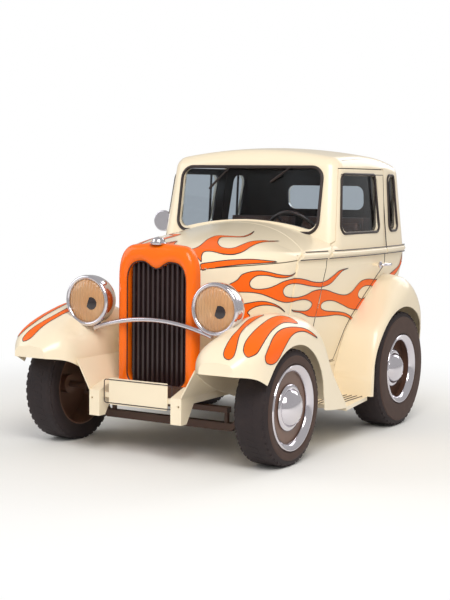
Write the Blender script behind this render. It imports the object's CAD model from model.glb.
import math

import bmesh
import bpy
from mathutils import Matrix, Vector
from mathutils.bvhtree import BVHTree
from mathutils.geometry import delaunay_2d_cdt


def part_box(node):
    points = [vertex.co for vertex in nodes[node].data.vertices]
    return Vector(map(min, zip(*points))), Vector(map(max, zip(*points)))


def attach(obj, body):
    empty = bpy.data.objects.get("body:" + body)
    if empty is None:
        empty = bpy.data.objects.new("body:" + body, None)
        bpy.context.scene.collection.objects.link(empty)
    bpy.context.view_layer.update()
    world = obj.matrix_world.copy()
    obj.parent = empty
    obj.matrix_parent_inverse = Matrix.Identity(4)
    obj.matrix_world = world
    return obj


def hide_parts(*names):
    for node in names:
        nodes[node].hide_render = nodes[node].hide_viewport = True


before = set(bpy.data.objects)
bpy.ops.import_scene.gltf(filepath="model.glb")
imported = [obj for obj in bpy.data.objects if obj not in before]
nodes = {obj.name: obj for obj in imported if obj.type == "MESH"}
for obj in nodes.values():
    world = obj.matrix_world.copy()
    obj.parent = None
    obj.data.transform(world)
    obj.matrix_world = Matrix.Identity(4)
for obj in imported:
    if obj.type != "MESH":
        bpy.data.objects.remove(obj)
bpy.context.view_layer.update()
sides = ((1, "left"), (-1, "right"))

# The camera stands at the drawing's own view: ahead of the car, on its left,
# a little above the lamps, with the slight tilt that the drawing has.
eye = Vector((4.4644, -7.7186, 1.6955))
aim = Vector((-0.0781, -0.0424, 0.8936))
lens_mm = 78.36
roll = math.radians(0.6444)
bpy.ops.object.camera_add(location=eye)
camera = bpy.context.object
look = (aim - eye).to_track_quat("-Z", "Y").to_matrix().to_4x4()
camera.matrix_world = Matrix.Translation(eye) @ look @ Matrix.Rotation(roll, 4, "Z")
camera.data.sensor_width = 36.0
camera.data.lens = lens_mm
camera.data.clip_end = 100.0
bpy.context.scene.camera = camera


# The studio: a pale floor and a pale wall of light all round it, with one large
# soft lamp over the car's front left and a weaker one on the far side.
def new_material(name):
    """A node material, with its tree and its main shader."""
    material = bpy.data.materials.new(name)
    material.use_nodes = True
    tree = material.node_tree
    return material, tree, tree.nodes["Principled BSDF"]


def fill(node, inputs):
    """Sets a node's inputs, each to a value or to another node's output."""
    for name, value in inputs.items():
        if isinstance(value, bpy.types.NodeSocket):
            node.id_data.links.new(value, node.inputs[name])
        else:
            node.inputs[name].default_value = value


def add(tree, kind, inputs=None):
    """A new shader node with its inputs set."""
    node = tree.nodes.new("ShaderNode" + kind)
    fill(node, inputs or {})
    return node


def calculate(tree, operation, first, second):
    """One math step; its inputs are sockets or numbers."""
    step = add(tree, "Math", {0: first, 1: second})
    step.operation = operation
    return step.outputs[0]


def area_lamp(name, place, size, power, colour):
    """A square area lamp that points at the car's middle."""
    bpy.ops.object.light_add(type="AREA", location=place)
    lamp = bpy.context.object
    lamp.name = name
    lamp.data.size = size
    lamp.data.energy = power
    lamp.data.color = colour
    lamp.rotation_euler = (Vector((0.0, 0.0, 0.9)) - Vector(place)).to_track_quat("-Z", "Y").to_euler()
    return lamp


bpy.ops.mesh.primitive_plane_add(size=60.0, location=(0.0, 0.0, 0.0))
floor_plane = bpy.context.object
floor_plane.name = "studio_floor"
floor_paint, floor_tree, floor_shader = new_material("studio_floor_paint")
fill(floor_shader, {"Base Color": (0.92, 0.915, 0.90, 1.0), "Roughness": 0.9})
floor_far = add(floor_tree, "VectorMath", {0: add(floor_tree, "TexCoord").outputs["Object"]})
floor_far.operation = "LENGTH"
floor_fade = add(floor_tree, "MapRange", {"From Min": 1.6, "From Max": 4.2, "Value": floor_far.outputs["Value"]})
floor_fade.interpolation_type = "SMOOTHSTEP"
floor_ray = add(floor_tree, "LightPath").outputs["Is Camera Ray"]
floor_mix = add(floor_tree, "MixShader", {
    "Fac": calculate(floor_tree, "MULTIPLY", floor_fade.outputs["Result"], floor_ray),
    1: floor_shader.outputs["BSDF"], 2: add(floor_tree, "Emission").outputs["Emission"],
})
fill(floor_tree.nodes["Material Output"], {"Surface": floor_mix.outputs["Shader"]})
floor_plane.data.materials.append(floor_paint)

world = bpy.data.worlds.new("studio_world")
bpy.context.scene.world = world
world.use_nodes = True
world_tree = world.node_tree
sky = world_tree.nodes["Background"]
fill(sky, {"Color": (1.0, 0.99, 0.97, 1.0), "Strength": 0.50})
shown = add(world_tree, "Background", {"Color": (1.0, 1.0, 1.0, 1.0)})
world_mix = add(world_tree, "MixShader", {
    "Fac": add(world_tree, "LightPath").outputs["Is Camera Ray"],
    1: sky.outputs["Background"], 2: shown.outputs["Background"],
})
fill(world_tree.nodes["World Output"], {"Surface": world_mix.outputs["Shader"]})

area_lamp("key_lamp", (3.2, -4.6, 5.2), 3.2, 270.0, (1.0, 0.97, 0.92))
area_lamp("fill_lamp", (-5.0, -3.0, 3.4), 4.0, 85.0, (0.95, 0.97, 1.0))
area_lamp("back_lamp", (1.5, 5.5, 4.5), 4.0, 120.0, (1.0, 1.0, 1.0))
bpy.context.scene.view_settings.view_transform = "Standard"

# The body's panels are pressed steel in a cream gloss coat over a brown trimmed inside. The coat
# has the faint orange peel and slow change of tone of sprayed paint, and the brown starts where
# a point lies further in than the panels' outer face.
front_axle_y = (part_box("wheel_front_left")[0].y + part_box("wheel_front_left")[1].y) / 2
widest_y = front_axle_y + 1.450


def finish(name, colour, mottle, scale, roughness, metallic=0.0, coat=0.0, bump=0.02, grain=260.0):
    """A worn, slightly uneven finish: two tones mixed by slow noise, and a fine bump."""
    material, tree, shader = new_material(name)
    place = add(tree, "TexCoord").outputs["Object"]
    slow = add(tree, "TexNoise", {"Scale": scale, "Detail": 4.0, "Vector": place})
    mix = add(tree, "Mix")
    mix.data_type = "RGBA"
    mix.name = "tone"
    fill(mix, {"A": (*colour, 1.0), "B": (*mottle, 1.0), "Factor": slow.outputs["Fac"]})
    fine = add(tree, "TexNoise", {"Scale": grain, "Vector": place})
    relief = add(tree, "Bump", {"Strength": bump, "Distance": 0.002, "Height": fine.outputs["Fac"]})
    fill(shader, {
        "Base Color": mix.outputs["Result"], "Normal": relief.outputs["Normal"], "Roughness": roughness,
        "Metallic": metallic, "Coat Weight": coat, "Coat Roughness": 0.12,
    })
    return material


# The cabin's inner face, in metres and metres per metre: how wide and how far back it is, and how
# it leans in above the belt, tucks in below the waist and rounds at its rear corners and its roof.
cabin_half, cabin_narrowing = 0.697, 0.0806
belt_z, belt_lean = 1.235, 0.0875
waist_z, waist_tuck = 1.150, 0.182
cabin_corner = 0.175
cabin_back = front_axle_y + 2.215
roof_z, roof_rounding = 1.927, 0.147
cabin_front, screen_rake = front_axle_y + 1.015, 0.176


def trim_inside(material, colour):
    """Turns the paint to a trimmed brown where a point lies inside the cabin's walls."""
    tree = material.node_tree

    def plus(first, second):
        return calculate(tree, "ADD", first, second)

    def minus(first, second):
        return calculate(tree, "SUBTRACT", first, second)

    def times(first, second):
        return calculate(tree, "MULTIPLY", first, second)

    def past(first, second):
        return calculate(tree, "MAXIMUM", minus(first, second), 0.0)

    x, y, z = add(tree, "SeparateXYZ", {0: add(tree, "TexCoord").outputs["Object"]}).outputs
    wide = calculate(tree, "ABSOLUTE", x, 0.0)
    along = minus(y, widest_y)
    along_square = times(along, along)
    lean = times(past(z, belt_z), belt_lean)
    tuck = times(past(waist_z, z), waist_tuck)
    straight = minus(minus(cabin_half, times(along_square, cabin_narrowing)), tuck)
    past_side = past(wide, minus(minus(straight, lean), cabin_corner))
    past_back = past(y, minus(cabin_back - cabin_corner, plus(lean, tuck)))
    off_corner = plus(times(past_side, past_side), times(past_back, past_back))
    within = calculate(tree, "LESS_THAN", off_corner, cabin_corner**2)
    crown = times(plus(times(wide, wide), along_square), roof_rounding)
    below = calculate(tree, "LESS_THAN", z, minus(roof_z, crown))
    ahead = plus(times(minus(z, belt_z), screen_rake), cabin_front)
    behind = calculate(tree, "GREATER_THAN", y, ahead)
    mix = add(tree, "Mix")
    mix.data_type = "RGBA"
    mask = times(times(within, below), behind)
    fill(mix, {"A": tree.nodes["tone"].outputs["Result"], "B": (*colour, 1.0), "Factor": mask})
    fill(tree.nodes["Principled BSDF"], {"Base Color": mix.outputs["Result"]})


def dress(material, *names):
    """Gives CAD nodes a material in their own slots."""
    for name in names:
        node = nodes[name]
        if not node.material_slots:
            node.data.materials.append(material)
        for place in node.material_slots:
            place.link = "OBJECT"
            place.material = material


cream_paint = finish("cream_paint", (0.93, 0.79, 0.57), (0.97, 0.86, 0.67), 1.6, 0.28, coat=0.35, bump=0.04)
trim_inside(cream_paint, (0.045, 0.022, 0.016))
dress(
    cream_paint,
    "cowl", "rear_body", "roof", "door_left", "door_right", "hood_top", "hood_side_left", "hood_side_right",
)
wing_paint = finish("wing_paint", (0.93, 0.79, 0.57), (0.97, 0.86, 0.67), 1.6, 0.28, coat=0.35, bump=0.04)
dress(
    wing_paint,
    "front_fender_left", "front_fender_right", "rear_fender_left", "rear_fender_right", "running_board_left",
    "running_board_right", "front_aprons", "frame_rail_left", "frame_rail_right", "number_plate",
)


# Running gear: forged and cast iron under a dark brown coat that has dulled, with rust-brown
# tones in its hollows. The beam, knuckles, engine and floor share it.
brown_iron = finish(
    "brown_iron", (0.060, 0.028, 0.020), (0.115, 0.060, 0.040), 9.0, 0.55, bump=0.25, grain=120.0
)
dress(
    brown_iron,
    "crossmembers", "front_axle", "spring_saddle", "knuckle_left", "knuckle_right", "rear_axle", "engine",
    "fuel_tank", "radiator_core", "floor",
)
dress(
    finish("bar_enamel", (0.020, 0.010, 0.012), (0.042, 0.024, 0.026), 14.0, 0.32, coat=0.2, bump=0.06),
    "grille_bars",
)
dress(
    finish("wheel_enamel", (0.120, 0.055, 0.035), (0.190, 0.100, 0.068), 7.0, 0.36, coat=0.25, bump=0.06),
    "wheel_front_left", "wheel_front_right", "wheel_rear_left", "wheel_rear_right",
)
chrome = finish("chrome", (0.62, 0.58, 0.64), (0.80, 0.78, 0.82), 5.0, 0.12, metallic=1.0, bump=0.01)
dress(chrome, "radiator_cap", "headlamps", "headlamp_bar", "door_mirror")
dress(
    finish("wheel_plastic", (0.035, 0.018, 0.014), (0.060, 0.032, 0.024), 20.0, 0.30, coat=0.3, bump=0.05),
    "steering_wheel",
)
hide_leather = finish(
    "hide_leather", (0.105, 0.040, 0.024), (0.165, 0.070, 0.042), 14.0, 0.46, bump=0.45, grain=520.0
)
dress(hide_leather, "front_seats", "rear_seat")
red_lens = finish(
    "red_lens", (0.50, 0.012, 0.010), (0.66, 0.03, 0.02), 30.0, 0.12, coat=0.5, bump=0.10, grain=150.0
)
dress(red_lens, "tail_lamps")


# The radiator shell is a deep orange drawn shell, lighter and more amber towards its rounded top.
orange_paint = finish(
    "orange_paint", (0.95, 0.125, 0.002), (1.0, 0.200, 0.004), 2.2, 0.24, coat=0.35, bump=0.03
)
dress(orange_paint, "radiator_shell")

# The tyres are warm near-black rubber, with a brown scuffed wall between tread and rim.
tyre_rubber = finish(
    "tyre_rubber", (0.012, 0.007, 0.010), (0.026, 0.014, 0.014), 11.0, 0.72, bump=0.30, grain=180.0
)
dress(tyre_rubber, "tyre_front_left", "tyre_front_right", "tyre_rear_left", "tyre_rear_right")


# The panes are flat and bent safety glass with a blue-grey tint, clear enough for the seats behind
# them to be seen.
def glass(name, colour, clearness, roughness, bending):
    """Tinted glass: clear through, with a thin coat of reflection."""
    material = finish(name, colour, colour, 3.0, roughness, bump=0.0)
    fill(material.node_tree.nodes["Principled BSDF"], {"Transmission Weight": clearness, "IOR": bending})
    return material


pane_glass = glass("pane_glass", (0.80, 0.86, 0.92), 1.0, 0.02, 1.22)
dress(pane_glass, "windscreen_glass", "rear_glass", "door_glass_left", "door_glass_right")
dress(glass("lens_glass", (0.85, 0.46, 0.22), 0.45, 0.16, 1.45), "headlamp_lenses")


# Four separate wings of pressed steel, each one smooth bulge whose outer edge follows its wheel
# arch. The rows give the same sections as the solids, from nose to tail, and the inner edge of
# each wing lies against the body side.
def surface_of(*names):
    """A search tree over these objects' meshes, with each face's owner."""
    points, faces, owners = [], [], []
    for name in names:
        mesh = bpy.data.objects[name].data if name in bpy.data.objects else nodes[name].data
        start = len(points)
        points += [vertex.co.copy() for vertex in mesh.vertices]
        faces += [[start + index for index in face.vertices] for face in mesh.polygons]
        owners += [name] * len(mesh.polygons)
    return BVHTree.FromPolygons(points, faces), owners


def blend(a, b, c, d, t):
    """The point at t between b and c on a smooth curve that runs from a to d."""
    return 0.5 * (2 * b + (c - a) * t + (2 * a - 5 * b + 4 * c - d) * t * t + (3 * b - a - 3 * c + d) * t**3)


def between(rows, count):
    """Rows along a smooth curve through the given rows."""
    smooth = []
    for number in range(len(rows) - 1):
        before = rows[max(number - 1, 0)]
        first, second = rows[number], rows[number + 1]
        after = rows[min(number + 2, len(rows) - 1)]
        for step in range(count):
            t = step / count
            smooth.append(tuple(blend(*values, t) for values in zip(before, first, second, after)))
    smooth.append(tuple(rows[-1]))
    return smooth


def wing_section(row, arch):
    """One arch from the inner foot over the crown to the outer foot, as (x, z) in metres."""
    station, crown, foot, inner, outer, inner_radius, outer_radius = [value / 1000 for value in row]
    axle_y, axle_z, arch_radius = arch
    reach = front_axle_y + station - axle_y
    outer_foot = foot
    if abs(reach) < arch_radius:
        outer_foot = max(foot, min(axle_z + math.sqrt(arch_radius**2 - reach**2), crown - 0.025))
    outer_radius = min(outer_radius, crown - outer_foot - 0.008)
    room = min(crown - foot, (outer - inner) / 2) * 0.96
    inner_radius, outer_radius = min(inner_radius, room), min(outer_radius, room)
    outer_radius = max(outer_radius, 0.004)
    inner_middle, outer_middle = inner + inner_radius, outer - outer_radius
    path = []
    for step in range(6):
        path.append((inner, foot + (crown - inner_radius - foot) * step / 6))
    for step in range(9):
        turn = math.pi - math.pi / 2 * step / 8
        height = crown - inner_radius + inner_radius * math.sin(turn)
        path.append((inner_middle + inner_radius * math.cos(turn), height))
    for step in range(1, 8):
        t = step / 8
        x = inner_middle + (outer_middle - inner - inner_radius) * t
        path.append((x, crown + 0.006 * math.sin(math.pi * t)))
    for step in range(9):
        turn = math.pi / 2 - math.pi / 2 * step / 8
        height = crown - outer_radius + outer_radius * math.sin(turn)
        path.append((outer_middle + outer_radius * math.cos(turn), height))
    for step in range(1, 7):
        path.append((outer, crown - outer_radius - (crown - outer_radius - outer_foot) * step / 6))
    return path


def wing(name, rows, side, arch, panels, node):
    """A wing's sheet over its rows, laid against the body's panels and given its thickness."""
    mesh = bmesh.new()
    rings = []
    for row in between(rows, 7):
        y = front_axle_y + row[0] / 1000
        ring = []
        for x, z in wing_section(row, arch):
            hit = panels.ray_cast(Vector((1.5, y, z)), Vector((-1, 0, 0)))[0]
            if hit is not None and hit.x + 0.002 > x:
                x = hit.x + 0.002
            ring.append(mesh.verts.new((x, y, z)))
        rings.append(ring)
    for first, second in zip(rings, rings[1:]):
        for number in range(len(first) - 1):
            mesh.faces.new((first[number], first[number + 1], second[number + 1], second[number]))
    mesh.faces.new(rings[0])
    bmesh.ops.remove_doubles(mesh, verts=mesh.verts, dist=0.0004)
    bmesh.ops.recalc_face_normals(mesh, faces=mesh.faces)
    data = bpy.data.meshes.new(name)
    mesh.to_mesh(data)
    mesh.free()
    piece = bpy.data.objects.new(name, data)
    bpy.context.collection.objects.link(piece)
    bpy.ops.object.select_all(action="DESELECT")
    bpy.context.view_layer.objects.active = piece
    piece.select_set(True)
    top = max(data.polygons, key=lambda face: face.center.z)
    if top.normal.z < 0:
        data.flip_normals()
    wall = piece.modifiers.new("wall", "SOLIDIFY")
    wall.thickness = 0.006
    wall.offset = -1.0
    bpy.ops.object.modifier_apply(modifier="wall")
    if side < 0:
        for vertex in piece.data.vertices:
            vertex.co.x = -vertex.co.x
        piece.data.flip_normals()
    bpy.ops.object.shade_smooth_by_angle(angle=math.radians(38))
    piece.data.materials.append(wing_paint)
    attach(piece, "chassis")
    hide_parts(node)
    return piece


front_wing_rows = (  # station, crown, foot, inner and outer side, inner and outer shoulder
    (-560, 668, 600, 560, 790, 50, 45),
    (-430, 772, 575, 462, 880, 150, 110),
    (-210, 858, 470, 432, 902, 265, 140),
    (60, 905, 380, 432, 905, 290, 145),
    (330, 830, 300, 432, 905, 280, 130),
    (520, 560, 270, 436, 900, 170, 100),
    (712, 292, 255, 470, 898, 25, 20),
)
rear_wing_rows = (
    (1168, 420, 262, 560, 868, 30, 60),
    (1215, 640, 262, 560, 880, 40, 90),
    (1330, 790, 262, 560, 896, 60, 120),
    (1700, 1052, 300, 560, 906, 90, 150),
    (1960, 900, 300, 560, 890, 60, 140),
    (2150, 470, 340, 560, 780, 30, 60),
)
body_side, body_side_owners = surface_of("hood_side_left", "hood_top", "cowl", "door_left", "rear_body")
rear_axle_y = (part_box("wheel_rear_left")[0].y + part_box("wheel_rear_left")[1].y) / 2
for side, word in sides:
    for end, rows, arch in (
        ("front", front_wing_rows, (front_axle_y, 0.355, 0.382)),
        ("rear", rear_wing_rows, (rear_axle_y, 0.403, 0.440)),
    ):
        wing(end + "_wing_" + word, rows, side, arch, body_side, end + "_fender_" + word)


# Orange flames with a thin dark line round them, painted over the cream on the hood, the sides,
# the doors and the front wings. Each is cut where a panel ends, and lies on its own panel.
def rounded(outline, count):
    """A closed outline's points with more points on a smooth curve between them."""
    size = len(outline)
    points = []
    for number in range(size):
        a, b, c, d = (Vector(outline[(number + step) % size]) for step in (-1, 0, 1, 2))
        points += [blend(a, b, c, d, step / count) for step in range(count)]
    return points


flame_paint = finish(
    "flame_paint", (0.98, 0.120, 0.0015), (1.0, 0.165, 0.003), 3.0, 0.42, coat=0.10, bump=0.03
)
for coat in (flame_paint, orange_paint):
    fill(coat.node_tree.nodes["Principled BSDF"], {"Specular IOR Level": 0.22})
line_paint = finish(
    "line_paint", (0.020, 0.008, 0.012), (0.034, 0.016, 0.020), 9.0, 0.40, coat=0.2, bump=0.02
)
seam_lines = (  # a point and a second point on each joint that a flame crosses, as (station, height)
    ((500, 400), (500, 1300)),
    ((768, 487), (826, 1215)),
    ((1706, 1250), (1700, 1122)),
    ((1592, 1046), (1415, 900)),
    ((1415, 900), (1292, 790)),
)


# Each flame is a sheet of small triangles and a band along its edge, lifted off its panel.
fill_lift, line_lift, line_half_width = 0.0013, 0.0022, 0.0024
grid_start, grid_gap, least_gap = 0.012, 0.014, 0.0012
cast_from = 3.0
same_panel = 0.02


def lay(name, outline, towards, surface, owners, bodies, seams=()):
    """Lays a closed outline's fill and its dark line on the surface that the direction meets."""
    towards = Vector(towards).normalized()
    across = towards.cross(Vector((0, 1, 0)) if abs(towards.y) < 0.9 else Vector((1, 0, 0))).normalized()
    up = across.cross(towards).normalized()

    def flattened(point):
        return Vector((point.dot(across), point.dot(up), 0.0))

    flat = []
    for point in map(flattened, rounded(outline, 4)):
        if not flat or (point - flat[-1]).length > least_gap:
            flat.append(point)
    low = [min(point[axis] for point in flat) for axis in (0, 1)]
    high = [max(point[axis] for point in flat) for axis in (0, 1)]
    spots = [point.xy for point in flat]
    column = low[0] + grid_start
    while column < high[0]:
        row = low[1] + grid_start
        while row < high[1]:
            spots.append(Vector((column, row)))
            row += grid_gap
        column += grid_gap
    size = len(flat)
    edges = [(number, (number + 1) % size) for number in range(size)]
    found, _, found_faces = delaunay_2d_cdt(spots, edges, [], 1, 0.00001)[:3]
    fill_sheet = bmesh.new()
    corners = [fill_sheet.verts.new((spot.x, spot.y, 0.0)) for spot in found]
    for face in found_faces:
        fill_sheet.faces.new([corners[index] for index in face])
    line_sheet = bmesh.new()
    outer, inner = [], []
    for number, point in enumerate(flat):
        along = flat[(number + 1) % size] - flat[number - 1]
        out = Vector((along.y, -along.x, 0.0)).normalized() * line_half_width
        outer.append(line_sheet.verts.new(point + out))
        inner.append(line_sheet.verts.new(point - out))
    for number, following in edges:
        line_sheet.faces.new((outer[number], outer[following], inner[following], inner[number]))
    gathered = {}
    for sheet, lift, tone in ((fill_sheet, fill_lift, "fill"), (line_sheet, line_lift, "line")):
        for seam in seams:
            start, end = (
                flattened(Vector((0.0, front_axle_y + station / 1000, height / 1000))) for station, height in seam
            )
            run = (end - start).normalized()
            bmesh.ops.bisect_plane(
                sheet,
                geom=sheet.verts[:] + sheet.edges[:] + sheet.faces[:],
                plane_co=start,
                plane_no=Vector((run.y, -run.x, 0.0)),
            )
        for face in sheet.faces:
            middle = face.calc_center_median()
            origin = across * middle.x + up * middle.y + towards * cast_from
            hit, normal, index, distance = surface.ray_cast(origin, -towards)
            if hit is None or normal.dot(towards) < 0.05:
                continue
            body = bodies[owners[index]]
            shared, places, faces = gathered.setdefault((body, tone), ({}, [], []))
            corners = []
            for vertex in face.verts:
                start = across * vertex.co.x + up * vertex.co.y + towards * cast_from
                spot, spot_normal, spot_index, far = surface.ray_cast(start, -towards)
                same = spot is not None and bodies[owners[spot_index]] == body
                known = None
                if not same or abs(far - distance) > same_panel:
                    depth = (hit - start).dot(normal) / (-towards).dot(normal)
                    spot, spot_normal = start - towards * depth, normal
                elif vertex.index >= 0:
                    known = vertex.index
                place = shared.get(known, len(places))
                if place == len(places):
                    places.append(spot + spot_normal * lift)
                if known is not None:
                    shared[known] = place
                corners.append(place)
            faces.append(corners)
        sheet.free()
    for (body, tone), (_, places, faces) in gathered.items():
        title = name + "_" + tone + "_" + body
        data = bpy.data.meshes.new(title)
        data.from_pydata(places, [], faces)
        for face in data.polygons:
            face.use_smooth = True
        piece = bpy.data.objects.new(title, data)
        bpy.context.collection.objects.link(piece)
        merged = bmesh.new()
        merged.from_mesh(data)
        bmesh.ops.remove_doubles(merged, verts=merged.verts, dist=0.0002)
        for face in merged.faces:
            if face.normal.dot(towards) < 0:
                face.normal_flip()
        merged.to_mesh(data)
        merged.free()
        data.materials.append(line_paint if tone == "line" else flame_paint)
        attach(piece, body)


side_flame = (  # station, height
    (120, 1092), (145, 1128), (190, 1146), (238, 1150), (290, 1140), (341, 1126),
    (400, 1117), (451, 1117), (492, 1131), (463, 1113), (402, 1102), (344, 1105),
    (292, 1118), (253, 1122), (222, 1119), (200, 1102), (188, 1077), (195, 1051),
    (214, 1038), (249, 1034), (295, 1040), (336, 1055), (389, 1078), (457, 1090),
    (518, 1092), (596, 1081), (694, 1061), (784, 1053), (858, 1062), (935, 1092),
    (1000, 1120), (1114, 1130), (1039, 1116), (983, 1082), (922, 1043), (856, 1026),
    (787, 1022), (675, 1034), (580, 1050), (500, 1060), (436, 1056), (402, 1036),
    (400, 1008), (428, 981), (500, 969), (567, 969), (640, 979), (713, 999),
    (793, 1004), (880, 995), (977, 972), (1077, 952), (1167, 947), (1236, 965),
    (1291, 1001), (1351, 1030), (1441, 1038), (1563, 1029), (1708, 1017), (1820, 1043),
    (1950, 1078), (2026, 1106), (2046, 1150), (2078, 1192), (2064, 1140), (2110, 1120),
    (2060, 1098), (1993, 1050), (1862, 1011), (1789, 970), (1716, 956), (1600, 974),
    (1482, 990), (1397, 987), (1343, 962), (1336, 930), (1385, 905), (1461, 906),
    (1551, 924), (1641, 932), (1720, 918), (1750, 896), (1706, 882), (1634, 879),
    (1542, 855), (1455, 829), (1361, 829), (1249, 844), (1118, 882), (1014, 911),
    (935, 922), (870, 919), (838, 902), (849, 874), (914, 854), (1007, 843),
    (1121, 830), (1230, 806), (1334, 761), (1380, 700), (1330, 735), (1278, 770),
    (1182, 798), (1063, 815), (941, 817), (801, 822), (712, 832), (654, 850),
    (598, 866), (533, 876), (506, 890), (533, 884), (595, 876), (673, 872),
    (715, 888), (726, 914), (686, 937), (624, 949), (549, 948), (483, 941),
    (423, 944), (366, 958), (308, 983), (259, 1003), (207, 1015), (152, 1019),
    (90, 1022), (60, 1050),
)
low_flame = (
    (110, 930), (161, 943), (200, 950), (244, 957), (291, 954), (345, 937),
    (401, 909), (440, 880), (382, 912), (330, 928), (279, 933), (234, 924),
    (204, 906), (192, 886), (206, 868), (184, 840), (130, 830), (100, 880),
)
hood_flame = (  # across from the middle, station
    (0, -92), (0, 70), (40, -16), (90, -82), (148, -90), (187, -59), (194, -12),
    (183, 67), (148, 196), (134, 294), (145, 345), (183, 365), (251, 404),
    (275, 454), (262, 551), (245, 628), (272, 546), (287, 445), (262, 388),
    (201, 335), (186, 300), (214, 221), (248, 165), (292, 132), (334, 149),
    (357, 197), (362, 279), (367, 361), (384, 423), (411, 485), (460, 580),
    (428, 470), (416, 372), (417, 278), (420, 197), (396, 144), (367, 107),
    (329, 70), (288, 40), (262, 12), (252, -18), (258, -50), (268, -78), (200, -92),
    (100, -93),
)
strip_flame = (  # station, height
    (-90, 1180), (-80, 1198), (-14, 1206), (87, 1218), (188, 1222), (260, 1215),
    (330, 1204), (250, 1198), (160, 1192), (91, 1184), (-21, 1170), (-82, 1160),
)
wing_flames = (  # across, station and height of each point
    (
        (905, 264, 753), (905, 204, 792), (905, 126, 826), (905, 21, 847),
        (903, -80, 853), (903, -164, 840), (899, -241, 807), (892, -310, 760),
        (887, -364, 712), (886, -371, 686), (888, -354, 664), (892, -307, 653),
        (897, -260, 660), (901, -220, 684), (902, -174, 726), (903, -119, 768),
        (904, -64, 797), (904, 8, 814), (905, 96, 811), (905, 173, 787),
    ),
    (
        (895, 40, 897), (846, 50, 902), (780, 20, 898), (754, -61, 884),
        (760, -194, 861), (764, -299, 823), (776, -394, 786), (795, -453, 754),
        (816, -478, 733), (846, -485, 726), (864, -455, 732), (878, -424, 754),
        (878, -371, 795), (859, -265, 836), (850, -185, 862), (849, -64, 883),
    ),
    (
        (690, -20, 888), (645, -34, 880), (633, -125, 863), (655, -257, 839),
        (665, -340, 807), (680, -439, 765), (692, -497, 718), (715, -522, 694),
        (745, -528, 687), (762, -512, 703), (760, -480, 723), (744, -435, 760),
        (715, -362, 799), (696, -288, 828), (688, -199, 860), (686, -93, 878),
    ),
)
for side, word in sides:
    panels = ("hood_side_" + word, "hood_top", "cowl", "door_" + word, "rear_body")
    surface, owners = surface_of(*panels)
    carriers = dict.fromkeys(panels, "chassis")
    carriers.update({"hood_top": "hood", "door_" + word: "door_" + word})
    sideways = (side, 0, 0)
    for title, outline in (("side_flame_", side_flame), ("low_flame_", low_flame), ("strip_flame_", strip_flame)):
        spots = [(0.0, front_axle_y + station / 1000, height / 1000) for station, height in outline]
        lay(title + word, spots, sideways, surface, owners, carriers, seam_lines)
    spots = [(side * across / 1000, front_axle_y + station / 1000, 1.3) for across, station in hood_flame]
    lay("hood_flame_" + word, spots, (0, 0, 1), surface, owners, carriers)
    wing_surface, wing_owners = surface_of("front_wing_" + word)
    for number, outline in enumerate(wing_flames):
        spots = [(side * x / 1000, front_axle_y + station / 1000, height / 1000) for x, station, height in outline]
        towards = ((side, 0, 0.25), (side * 0.55, -0.5, 0.85), (side * 0.1, -0.6, 0.9))[number]
        carriers = {"front_wing_" + word: "chassis"}
        lay("wing_flame_" + str(number) + "_" + word, spots, towards, wing_surface, wing_owners, carriers)


# Each wheel has a chromed trim ring on its rim's edge and a domed chrome cap, pushed onto a brown
# disc. Round pieces are spun from a profile about the axle: (out from the wheel's face, radius).
def shaded(name, mesh, material, degrees):
    """A new object made of a bmesh, smooth except at edges sharper than the angle."""
    bpy.ops.object.select_all(action="DESELECT")
    bpy.ops.mesh.primitive_plane_add(size=1.0)
    piece = bpy.context.object
    piece.name = name
    mesh.to_mesh(piece.data)
    mesh.free()
    piece.data.materials.append(material)
    bpy.ops.object.shade_smooth_by_angle(angle=math.radians(degrees))
    return piece


def turned(name, profile, centre, facing, steps, material, body):
    """A profile of (outwards, radius) points spun about the line through centre along facing."""
    mesh = bmesh.new()
    line = [mesh.verts.new((0.0, radius, outwards)) for outwards, radius in profile]
    for first, second in zip(line, line[1:]):
        mesh.edges.new((first, second))
    bmesh.ops.spin(
        mesh, geom=mesh.verts[:] + mesh.edges[:], cent=(0, 0, 0), axis=(0, 0, 1), angle=2 * math.pi, steps=steps,
        use_merge=True,
    )
    bmesh.ops.remove_doubles(mesh, verts=mesh.verts, dist=0.0002)
    bmesh.ops.recalc_face_normals(mesh, faces=mesh.faces)
    turn = Vector(facing).to_track_quat("Z", "Y").to_matrix().to_4x4()
    bmesh.ops.transform(mesh, matrix=Matrix.Translation(centre) @ turn, verts=mesh.verts)
    piece = shaded(name, mesh, material, 50)
    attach(piece, body)
    return piece


def middle_of(name):
    """The middle and the size of a CAD node's box."""
    low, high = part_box(name)
    return (low + high) / 2, high - low


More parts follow.
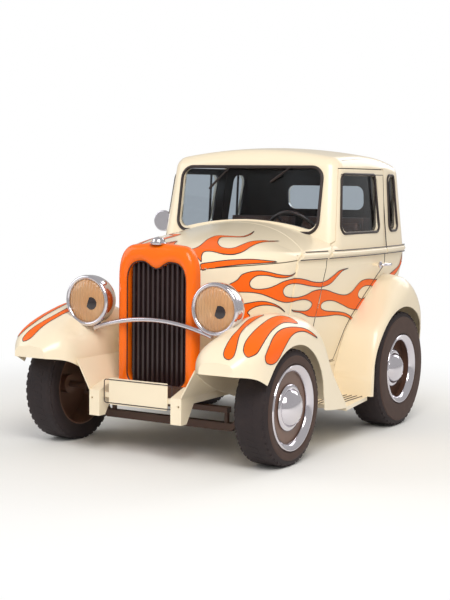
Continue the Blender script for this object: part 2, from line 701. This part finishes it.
sidewall_rubber = finish(
    "sidewall_rubber", (0.050, 0.025, 0.019), (0.082, 0.044, 0.033), 16.0, 0.68, bump=0.25, grain=160.0
)
for end, rim, cap, inset in (("front", 0.2605, 0.1135, 0.012), ("rear", 0.241, 0.105, 0.050)):
    for side, word in sides:
        place = end + "_" + word
        centre, size = middle_of("tyre_" + place)
        face = centre + Vector((side * size.x / 2, 0, 0))
        body = "wheel_" + place
        ring = [(-0.030, rim - 0.045), (-0.020, rim - 0.043), (-0.006, rim - 0.030), (-0.002, rim - 0.016),
                (0.004, rim - 0.008), (0.004, rim - 0.002), (-0.004, rim + 0.004), (-0.016, rim + 0.006)]
        turned("trim_ring_" + place, ring, face, (side, 0, 0), 72, chrome, body)
        dome = [(-inset - 0.016, cap + 0.030), (-inset - 0.008, cap + 0.026), (-inset - 0.004, cap + 0.010),
                (-inset - 0.006, cap + 0.002), (-inset + 0.010, cap - 0.006), (-inset + 0.028, cap - 0.022),
                (-inset + 0.042, cap - 0.048), (-inset + 0.050, cap - 0.078), (-inset + 0.052, 0.0)]
        turned("hub_cap_" + place, dome, face, (side, 0, 0), 64, chrome, body)
        radius = size.z / 2
        wall = [(-0.004, rim + 0.006), (0.0035, rim + 0.016), (0.0045, rim + 0.024), (0.0032, rim + 0.030),
                (0.0040, rim + 0.036), (0.0040, (rim + radius) / 2), (0.0020, radius - 0.040), (-0.006, radius - 0.034),
                (-0.010, rim + 0.010), (-0.004, rim + 0.006)]
        turned("tyre_wall_" + place, wall, face, (side, 0, 0), 72, sidewall_rubber, body)

# Tread blocks of the same rubber stand in three rows round each tyre. The middle row slants the
# other way, and each block is narrower at its top.
tread_count = 44
for end in ("front", "rear"):
    for side, word in sides:
        place = end + "_" + word
        centre, size = middle_of("tyre_" + place)
        radius = size.z / 2
        blocks = bmesh.new()
        for row, (shift, width, slant) in enumerate(((-0.33, 0.24, 0.30), (0.0, 0.26, -0.30), (0.33, 0.24, 0.30))):
            for number in range(tread_count):
                turn = 2 * math.pi * (number + 0.5 * (row % 2)) / tread_count
                pitch = 2 * math.pi * radius / tread_count
                made = bmesh.ops.create_cube(blocks, size=1.0)["verts"]
                bmesh.ops.scale(blocks, vec=(size.x * width, pitch * 0.62, 0.010), verts=made)
                for vertex in made:
                    vertex.co.y += vertex.co.x * slant
                    if vertex.co.z > 0:
                        vertex.co.x *= 0.92
                        vertex.co.y *= 0.92
                    vertex.co.z -= abs(vertex.co.x + size.x * shift) ** 2 * 0.55
                out = Matrix.Translation((size.x * shift, 0, radius - 0.0035))
                spot = Matrix.Translation(centre) @ Matrix.Rotation(turn, 4, "X") @ out
                bmesh.ops.transform(blocks, matrix=spot, verts=made)
        data = bpy.data.meshes.new("tread_" + place)
        blocks.to_mesh(data)
        blocks.free()
        piece = bpy.data.objects.new("tread_" + place, data)
        bpy.context.collection.objects.link(piece)
        data.materials.append(tyre_rubber)
        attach(piece, "wheel_" + place)


# Headlamps: a pressed chrome rim round a domed amber glass with upright flutes, and the dark round
# end of the bulb's holder, which stands a little off the middle.
lamp_low, lamp_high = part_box("headlamp_lenses")
lamp_y, lamp_z = lamp_low.y, (lamp_low.z + lamp_high.z) / 2
lamp_x = lamp_high.x - (lamp_high.z - lamp_low.z) / 2
flute_glass = finish("flute_glass", (0.70, 0.30, 0.10), (0.95, 0.58, 0.30), 9.0, 0.14, coat=0.6, bump=0.0)
flute_tree = flute_glass.node_tree
flutes = add(flute_tree, "TexWave", {
    "Scale": 14.0, "Distortion": 0.4, "Vector": add(flute_tree, "TexCoord").outputs["Object"],
})
flutes.bands_direction = "X"
flute_bump = add(flute_tree, "Bump", {"Strength": 0.7, "Distance": 0.004, "Height": flutes.outputs["Fac"]})
fill(flute_tree.nodes["Principled BSDF"], {"Normal": flute_bump.outputs["Normal"], "Transmission Weight": 0.35})
bulb_black = finish(
    "bulb_black", (0.012, 0.008, 0.012), (0.030, 0.018, 0.020), 12.0, 0.10, coat=0.6, bump=0.02
)
for side, word in sides:
    front = Vector((side * lamp_x, lamp_y, lamp_z))
    glass_dome = [(-0.006, 0.139), (0.003, 0.136), (0.010, 0.120), (0.017, 0.090), (0.021, 0.050), (0.023, 0.0)]
    lens = turned("lamp_glass_" + word, glass_dome, front, (0, -1, 0), 64, flute_glass, "chassis")
    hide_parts("headlamp_lenses")
    rim_ring = [
        (-0.012, 0.1605), (-0.004, 0.1625), (0.006, 0.161), (0.013, 0.154), (0.014, 0.146), (0.009, 0.139),
        (0.0, 0.136),
    ]
    turned("lamp_rim_" + word, rim_ring, front, (0, -1, 0), 64, chrome, "chassis")
    eye_disc = [(0.012, 0.052), (0.020, 0.050), (0.0255, 0.036), (0.027, 0.0)]
    bulb_place = front + Vector((0.038, 0.004, -0.012))
    turned("lamp_bulb_" + word, eye_disc, bulb_place, (0, -1, 0), 40, bulb_black, "chassis")


# Bent strips, seals and grips are round in section and follow a line of points. Black rubber seals
# with rounded corners sit round every window's edge.
def tube(name, points, radius, material, body, closed=False):
    """A round strip along points, as a mesh."""
    curve = bpy.data.curves.new(name, "CURVE")
    curve.dimensions = "3D"
    curve.bevel_depth = radius
    curve.bevel_resolution = 3
    curve.use_fill_caps = True
    line = curve.splines.new("POLY")
    line.points.add(len(points) - 1)
    for spot, point in zip(line.points, points):
        spot.co = (*point, 1.0)
    line.use_cyclic_u = closed
    piece = bpy.data.objects.new(name, curve)
    bpy.context.collection.objects.link(piece)
    bpy.ops.object.select_all(action="DESELECT")
    piece.select_set(True)
    bpy.context.view_layer.objects.active = piece
    bpy.ops.object.convert(target="MESH")
    piece = bpy.context.object
    piece.data.materials.clear()
    piece.data.materials.append(material)
    bpy.ops.object.shade_smooth_by_angle(angle=math.radians(50))
    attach(piece, body)
    return piece


def on_side(surface, side, station, height, lift):
    """The point on a body side at a station and height, lifted off it."""
    y = front_axle_y + station / 1000
    hit, normal, index, far = surface.ray_cast(Vector((side * 1.6, y, height / 1000)), Vector((-side, 0, 0)))
    return hit + normal * lift if hit is not None else None


def window_outline(front, rear, foot, head, rake, corner):
    """A side window's outline with rounded corners, as (station, height)."""
    shape = []
    for station, height, start in (
        (front + corner, foot + corner, math.pi), (rear - corner, foot + corner, 1.5 * math.pi),
        (rear - corner, head - corner, 0.0), (front + rake + corner, head - corner, 0.5 * math.pi),
    ):
        for step in range(7):
            turn = start + math.pi / 2 * step / 6
            shape.append((station + corner * math.cos(turn), height + corner * math.sin(turn)))
    return shape


seal_rubber = finish(
    "seal_rubber", (0.016, 0.009, 0.010), (0.034, 0.020, 0.018), 18.0, 0.50, bump=0.12, grain=200.0
)
for side, word in sides:
    for title, body, owner, front, rear in (
        ("door_seal_", "door_" + word, "door_" + word, 1036, 1602),
        ("quarter_seal_", "chassis", "rear_body", 1812, 1972),
    ):
        surface, owners = surface_of(owner)
        shape = window_outline(front - 9, rear + 9, 1372 - 9, 1752 + 9, 46 if title == "door_seal_" else 20, 52)
        spots = [on_side(surface, side, station, height, 0.002) for station, height in shape]
        spots = [spot for spot in spots if spot is not None]
        tube(title + word, spots, 0.009, seal_rubber, body, closed=True)
surface, owners = surface_of("cowl")
screen_shape = window_outline(-553, 553, 1372 - 10, 1796 + 10, 0, 80)
spots = []
for across, height in screen_shape:
    hit, normal, index, far = surface.ray_cast(Vector((across / 1000, -1.6, height / 1000)), Vector((0, 1, 0)))
    if hit is not None:
        spots.append(hit + normal * 0.002)
tube("screen_seal", spots, 0.011, seal_rubber, "chassis", closed=True)


# Belt moulding: one rounded steel strip under the windows, cut where the doors end, with a dark
# line above and below it.
belt_layers = ((1232, 0.020, cream_paint), (1208, 0.0035, line_paint), (1256, 0.0035, line_paint))  # height, radius
for side, word in sides:
    for title, body, owner, start, end in (
        ("belt_cowl_", "chassis", "cowl", 508, 826), ("belt_door_", "door_" + word, "door_" + word, 838, 1696),
        ("belt_rear_", "chassis", "rear_body", 1712, 2150),
    ):
        surface, owners = surface_of(owner)
        for layer, (height, radius, material) in enumerate(belt_layers):
            spots = []
            for step in range(25):
                station = start + (end - start) * step / 24
                spot = on_side(surface, side, station, height, 0.0 if layer == 0 else 0.002)
                if spot is not None:
                    spots.append(spot - Vector((side * 0.012, 0, 0)) if layer == 0 else spot)
            if len(spots) > 2:
                tube(title + str(layer) + "_" + word, spots, radius, material, body)


# Two wipers hang from the header over the windscreen: a jointed arm and a rubber blade each.
screen_surface, screen_owners = surface_of("cowl", "windscreen_glass", "roof")
for title, pivot, tip in (("right", (-0.161, 1.812), (-0.328, 1.652)), ("left", (0.319, 1.812), (0.156, 1.703))):
    spots = []
    for step in range(9):
        t = step / 8
        x, z = pivot[0] + (tip[0] - pivot[0]) * t, pivot[1] + (tip[1] - pivot[1]) * t
        hit = screen_surface.ray_cast(Vector((x, -1.6, z)), Vector((0, 1, 0)))[0]
        if hit is not None:
            spots.append(Vector((x, hit.y - 0.012 - 0.010 * math.sin(math.pi * t), z)))
    tube("wiper_arm_" + title, spots, 0.005, seal_rubber, "chassis")
    blade = [spot + Vector((0, 0.004, 0)) for spot in spots[4:]]
    tube("wiper_blade_" + title, blade, 0.008, seal_rubber, "chassis")


# Black ribs of rubber run along the running boards' tops.
for side, word in sides:
    board_low, board_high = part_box("running_board_" + word)
    for number in range(5):
        x = side * (0.655 + 0.038 * number)
        length = board_high.y - board_low.y - 0.040
        spots = [Vector((x, board_low.y + 0.020 + length * step / 6, 0.2625)) for step in range(7)]
        tube("board_rib_" + str(number) + "_" + word, spots, 0.0035, seal_rubber, "chassis")


# The radiator shell is drawn steel: its rim rolls over from the grille's mouth to the hood, and the
# mouth's top edge dips in the middle, under the filler's cap.
def half_outline(half, foot, foot_round, side_top, corner, top_of):
    """The right half of an upright outline from its foot's middle to its top's middle, as (x, z)."""
    points = [((half - foot_round) * step / 6, foot) for step in range(6)]
    for step in range(6):
        turn = -math.pi / 2 + math.pi / 2 * step / 6
        height = foot + foot_round + foot_round * math.sin(turn)
        points.append((half - foot_round + foot_round * math.cos(turn), height))
    for step in range(16):
        points.append((half, foot + foot_round + (side_top - foot - foot_round) * step / 16))
    start, bend, end = (half, side_top), corner, (corner[0] - 120, top_of(corner[0] - 120))
    for step in range(14):
        t = step / 14
        points.append(tuple(
            (1 - t) ** 2 * a + 2 * t * (1 - t) * b + t * t * c for a, b, c in zip(start, bend, end)
        ))
    for step in range(17):
        x = end[0] * (1 - step / 16)
        points.append((x, top_of(x)))
    return points


def shell_crown(x):
    """The height of the shell's crowned top at x."""
    return 1317.0 - 30.0 * (x / 285.0) ** 2


def mouth_crown(x):
    """The height of the mouth's top edge at x, with its dip in the middle."""
    return 1160.0 + 43.0 * math.sin(math.pi / 2 * min(1.0, x / 97.0)) ** 2


outer_half = half_outline(285.0, 385.0, 14.0, 1100.0, (285.0, 1300.0), shell_crown)
mouth_half_outline = half_outline(217.0, 432.0, 70.0, 1070.0, (217.0, 1212.0), mouth_crown)
shell_rows = (  # share of the way from the mouth to the outer edge, and depth behind the front
    (0.0, 52.0), (0.0, 8.0), (0.03, -4.0), (0.10, -12.0), (0.25, -19.0), (0.45, -22.0), (0.65, -20.0), (0.82, -12.0),
    (0.94, 0.0), (1.0, 16.0), (1.0, 56.0), (0.5, 56.0),
)
shell_y = front_axle_y - 0.157
mesh = bmesh.new()
rings = []
for outer, mouth in [*zip(outer_half, mouth_half_outline)] + [
    ((-a[0], a[1]), (-b[0], b[1])) for a, b in reversed([*zip(outer_half, mouth_half_outline)][1:-1])
]:
    rings.append([
        mesh.verts.new((
            (mouth[0] + (outer[0] - mouth[0]) * share) / 1000, shell_y + depth / 1000,
            (mouth[1] + (outer[1] - mouth[1]) * share) / 1000,
        ))
        for share, depth in shell_rows
    ])
for number, ring in enumerate(rings):
    following = rings[(number + 1) % len(rings)]
    for place in range(len(shell_rows)):
        after = (place + 1) % len(shell_rows)
        mesh.faces.new((ring[place], ring[after], following[after], following[place]))
bmesh.ops.recalc_face_normals(mesh, faces=mesh.faces)
shell_piece = shaded("drawn_shell", mesh, orange_paint, 60)
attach(shell_piece, "chassis")
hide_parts("radiator_shell")
mouth_line = [Vector((x / 1000, shell_y - 0.002, z / 1000)) for x, z in mouth_half_outline]
mouth_line += [Vector((-spot.x, spot.y, spot.z)) for spot in reversed(mouth_line[1:-1])]
tube("mouth_line", mouth_line, 0.004, line_paint, "chassis", closed=True)
cap_profile = [(-0.004, 0.050), (0.004, 0.054), (0.009, 0.050), (0.012, 0.041), (0.026, 0.038), (0.034, 0.032),
               (0.039, 0.020), (0.041, 0.0)]
cap_place = Vector((0, shell_y + 0.018, 1.315))
cap_dome = turned("filler_cap", cap_profile, cap_place, (0, 0, 1), 48, chrome, "chassis")
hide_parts("radiator_cap")


# Door joints: a dark rubber strip lies in the gap round each door, and a chromed grip stands on two
# posts near its rear edge.
door_edge = (
    (768, 500), (826, 1215), (968, 1318), (1056, 1760), (1748, 1760), (1706, 1250), (1700, 1122), (1592, 1046),
    (1415, 900), (1292, 790), (1222, 700), (1175, 600), (1148, 500), (768, 500),
)
grip_line = (  # station, and distance out from the door
    (1500, -0.002), (1500, 0.024), (1508, 0.032), (1530, 0.036), (1590, 0.034), (1618, 0.028), (1622, 0.022),
)
for side, word in sides:
    surface, owners = surface_of("door_" + word, "cowl", "rear_body", "roof", "hood_side_" + word, "hood_top")
    spots = []
    for (first_s, first_z), (second_s, second_z) in zip(door_edge, door_edge[1:]):
        steps = max(2, int(math.hypot(second_s - first_s, second_z - first_z) / 24))
        for step in range(steps):
            t = step / steps
            station, height = first_s + (second_s - first_s) * t, first_z + (second_z - first_z) * t
            spot = on_side(surface, side, station, height, 0.0)
            if spot is not None and abs(spot.x) > 0.45:
                spots.append(spot - Vector((side * 0.0015, 0, 0)))
    tube("door_strip_" + word, spots, 0.0034, seal_rubber, "chassis", closed=True)
    surface, owners = surface_of("door_" + word)
    grip = []
    for station, out in grip_line:
        spot = on_side(surface, side, station, 1137, 0.0)
        if spot is not None:
            grip.append(spot + Vector((side * out, 0, 0)))
    tube("door_grip_" + word, grip, 0.010, chrome, "door_" + word)
    spot = on_side(surface, side, 1500, 1137, 0.0)
    if spot is not None:
        rose = [(-0.004, 0.024), (0.003, 0.024), (0.006, 0.020), (0.007, 0.0)]
        turned("grip_rose_" + word, rose, spot, (side, 0, 0), 32, chrome, "door_" + word)
    horn = [(-0.003, 0.019), (0.002, 0.018), (0.002, 0.011), (-0.001, 0.010), (-0.002, 0.0)]
    horn_place = Vector((side * 0.3175, front_axle_y - 0.340, 0.360))
    turned("horn_bolt_" + word, horn, horn_place, (0, -1, 0), 24, brown_iron, "chassis")
plate_low, plate_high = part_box("number_plate")
plate_middle_z, plate_half_z = (plate_low.z + plate_high.z) / 2, (plate_high.z - plate_low.z) / 2
frame_spots = []
for across, up, turn in ((1, 1, 0), (-1, 1, 1), (-1, -1, 2), (1, -1, 3)):
    for step in range(5):
        angle = math.pi / 2 * (turn + step / 4)
        frame_spots.append(Vector((
            across * (plate_high.x - 0.028) + 0.016 * math.cos(angle), plate_low.y - 0.0008,
            plate_middle_z + up * (plate_half_z - 0.026) + 0.016 * math.sin(angle),
        )))
tube("plate_border", frame_spots, 0.003, line_paint, "chassis", closed=True)


# Tail lamps: a chromed bezel round each red lens, and a shallow red dome closing it.
tail_low, tail_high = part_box("tail_lamps")
for side, word in sides:
    radius = (tail_high.z - tail_low.z) / 2
    middle = Vector((side * (tail_high.x - radius), tail_high.y, (tail_low.z + tail_high.z) / 2))
    bezel = [
        (-0.016, radius + 0.001), (-0.012, radius + 0.005), (-0.002, radius + 0.005), (0.002, radius),
        (0.001, radius - 0.006),
    ]
    turned("tail_rim_" + word, bezel, middle, (0, 1, 0), 40, chrome, "chassis")
    dome = [(0.001, radius - 0.005), (0.006, radius - 0.012), (0.010, radius * 0.45), (0.011, 0.0)]
    turned("tail_dome_" + word, dome, middle, (0, 1, 0), 40, red_lens, "chassis")


# Seats: leather cushions, each crowned, with its sides pulled in at the corners and sewn channels
# down its length, lie on the seat bases and against their backs.
def cushion(name, origin, across, along, upward, size, crown, channels):
    """A padded form on the plane of across and along, crowned towards upward."""
    bpy.ops.object.select_all(action="DESELECT")
    bpy.ops.mesh.primitive_cube_add(size=2.0)
    piece = bpy.context.object
    piece.name = name
    bpy.ops.object.mode_set(mode="EDIT")
    bpy.ops.mesh.select_all(action="SELECT")
    bpy.ops.mesh.subdivide(number_cuts=23)
    bpy.ops.object.mode_set(mode="OBJECT")
    half = Vector(size) / 2
    corner = half.z * 0.92
    places = [(number + 1) / (channels + 1) * 2 - 1 for number in range(channels)]
    frame_of = Matrix((across, along, upward)).transposed().to_4x4()
    for vertex in piece.data.vertices:
        share = vertex.co.copy()
        point = Vector([share[axis] * half[axis] for axis in range(3)])
        inner = Vector([max(corner - half[axis], min(half[axis] - corner, point[axis])) for axis in range(3)])
        outward = point - inner
        if outward.length > 0:
            point = inner + outward.normalized() * corner
        point.y *= 1 - 0.035 * (1 - abs(share.x) ** 2) * abs(share.y) ** 3
        point.x *= 1 - 0.030 * (1 - abs(share.y) ** 2) * abs(share.x) ** 3
        if share.z > 0:
            point.z += crown * (1 - share.x**2) * (1 - share.y**2)
            for place in places:
                across_seam = (share.x - place) * half.x / 0.008
                point.z -= 0.010 * math.exp(-(across_seam**2)) * (1 - abs(share.y) ** 6)
        vertex.co = Vector(origin) + (frame_of @ point)
    piece.data.materials.append(hide_leather)
    for face in piece.data.polygons:
        face.use_smooth = True
    smooth = piece.modifiers.new("smooth", "SUBSURF")
    smooth.levels = 1
    bpy.ops.object.modifier_apply(modifier="smooth")
    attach(piece, "chassis")
    return piece


level = (Vector((1, 0, 0)), Vector((0, 1, 0)), Vector((0, 0, 1)))
for side, word in sides:
    base = Vector((side * 0.300, front_axle_y + 1.420, 0.765))
    cushion("seat_pad_" + word, base, *level, (0.470, 0.310, 0.070), 0.022, 5)
    lean = Vector((0, 0.099, 0.705)).normalized()
    back = Vector((side * 0.300, front_axle_y + 1.620, 1.105))
    upright = (Vector((-1, 0, 0)), lean, Vector((0, -lean.z, lean.y)))
    cushion("seat_back_" + word, back, *upright, (0.470, 0.640, 0.070), 0.024, 5)
cushion("rear_pad", Vector((0, front_axle_y + 1.945, 0.808)), *level, (0.980, 0.190, 0.060), 0.016, 9)
lean = Vector((0, 0.044, 0.500)).normalized()
upright = (Vector((-1, 0, 0)), lean, Vector((0, -lean.z, lean.y)))
cushion("rear_back", Vector((0, front_axle_y + 2.040, 1.060)), *upright, (0.980, 0.450, 0.060), 0.018, 9)
